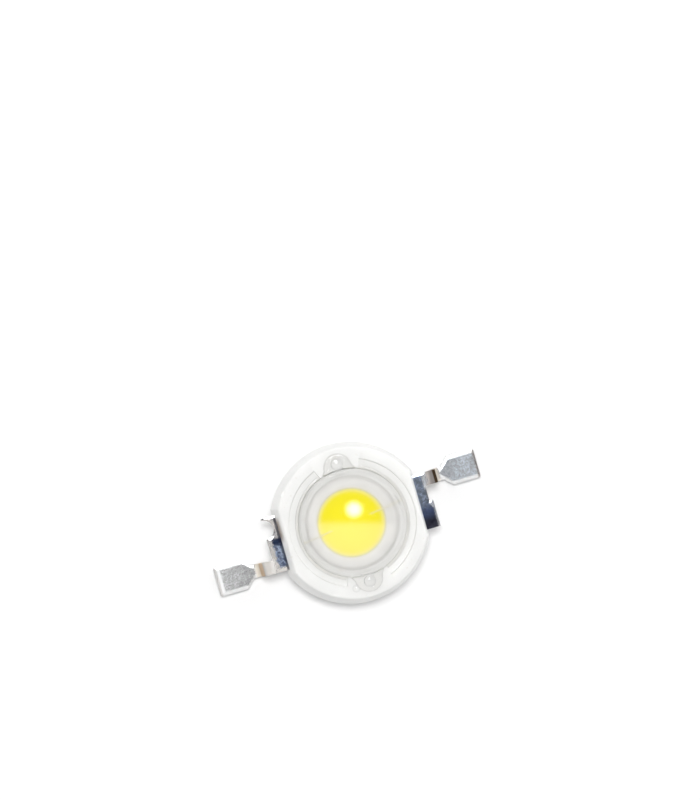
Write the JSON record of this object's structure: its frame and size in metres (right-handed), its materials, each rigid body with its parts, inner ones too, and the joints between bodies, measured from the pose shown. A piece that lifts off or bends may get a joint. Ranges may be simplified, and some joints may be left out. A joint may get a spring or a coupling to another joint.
{
  "type": "high power led emitter",
  "caption": "Power LED emitter: round white moulded body with a clear dome lens over a yellow phosphor cup, a flat metal heat slug beneath and a gull-wing solder lead on either side.",
  "frame": {"origin": "centre of the heat slug's underside, which stands on the board", "axes": "+Z is the optical axis, the way the light leaves; +X runs to the tip of the cathode lead, and the notched anode lead points along -X"},
  "size_m": [0.0144, 0.0082, 0.0054],
  "materials": {
    "slug_metal": "satin",
    "white_plastic": "satin",
    "silver_plate": "satin",
    "silver_paste": "matte",
    "chip": "polished",
    "gold": "polished",
    "phosphor": "satin",
    "silicone": "gloss",
    "clear_plastic": "polished"
  },
  "bodies": {
    "root": {"heat_slug": "slug_metal", "housing": "white_plastic", "cathode_lead": "silver_plate", "anode_lead": "silver_plate", "die_bond": "silver_paste", "led_chip": "chip", "cathode_wire": "gold", "anode_wire": "gold", "phosphor": "phosphor", "silicone_fill": "silicone", "lens": "clear_plastic", "silicone_bead": "silicone"}
  },
  "joints": []
}
